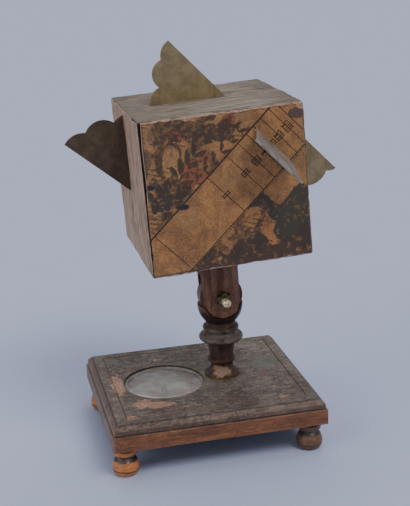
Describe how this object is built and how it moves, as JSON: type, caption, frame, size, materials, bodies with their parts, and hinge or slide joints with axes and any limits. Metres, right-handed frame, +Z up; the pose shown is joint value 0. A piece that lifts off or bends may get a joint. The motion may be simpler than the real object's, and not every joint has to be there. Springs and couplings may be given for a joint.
{
  "type": "polyhedral sundial",
  "caption": "Wooden cube sundial with brass gnomons on its faces, on a tilting knuckle joint and turned pillar over a footed base with a compass.",
  "frame": {"origin": "on the ground plane, under the middle of the whole object's outline; the middle of the base lies 6.2 mm towards -X", "axes": "+Z up, +X towards the south side of the block, +Y towards its east side, so the west dial faces -Y"},
  "size_m": [0.13, 0.1062, 0.1934],
  "materials": {
    "block_wood": "worn bare wood",
    "dial_paper": "varnished old paper",
    "lacquered_wood": "dark lacquer, glossy",
    "plinth_wood": "dark paint, flaked",
    "foot_wood": "worn, half painted",
    "gnomon_brass": "dull, aged",
    "brass": "aged",
    "needle_steel": "blued",
    "compass_card": "printed card",
    "compass_glass": "clear, bevelled rim"
  },
  "bodies": {
    "stand": {"base_plinth": "plinth_wood", "foot_front_left": "foot_wood", "foot_front_right": "foot_wood", "foot_back_left": "foot_wood", "foot_back_right": "foot_wood", "compass_card": "compass_card", "compass_pivot": "brass", "compass_glass": "compass_glass", "pillar": "lacquered_wood"},
    "head": {"knuckle_fork": "lacquered_wood", "knuckle_bolt": "brass", "front_washer": "brass", "rear_washer": "brass", "block_west_board": "block_wood", "block_south_board": "block_wood", "block_east_board": "block_wood", "block_north_board": "block_wood", "block_top_board": "block_wood", "block_bottom_board": "block_wood", "west_dial_paper": "dial_paper", "east_dial_paper": "dial_paper", "south_dial_paper": "dial_paper", "top_gnomon": "gnomon_brass", "north_gnomon": "gnomon_brass", "south_gnomon": "gnomon_brass", "west_gnomon": "gnomon_brass", "east_gnomon": "gnomon_brass"},
    "nut": {"thumb_nut": "brass"},
    "needle": {"compass_needle": "needle_steel", "needle_cap": "brass"}
  },
  "joints": [
    {"name": "head_tilt", "type": "hinge", "parent": "stand", "child": "head", "pos_m": [0.0052, 0, 0.0696], "axis": [0, 1, 0], "range_deg": [-26.7, 33.3]},
    {"name": "nut_turn", "type": "hinge", "parent": "head", "child": "nut", "pos_m": [0.0052, -0.01, 0.0696], "axis": [0, -1, 0], "continuous": true},
    {"name": "needle_swing", "type": "hinge", "parent": "stand", "child": "needle", "pos_m": [-0.0246, -0.0007, 0.0233], "axis": [0, 0, 1], "continuous": true}
  ]
}
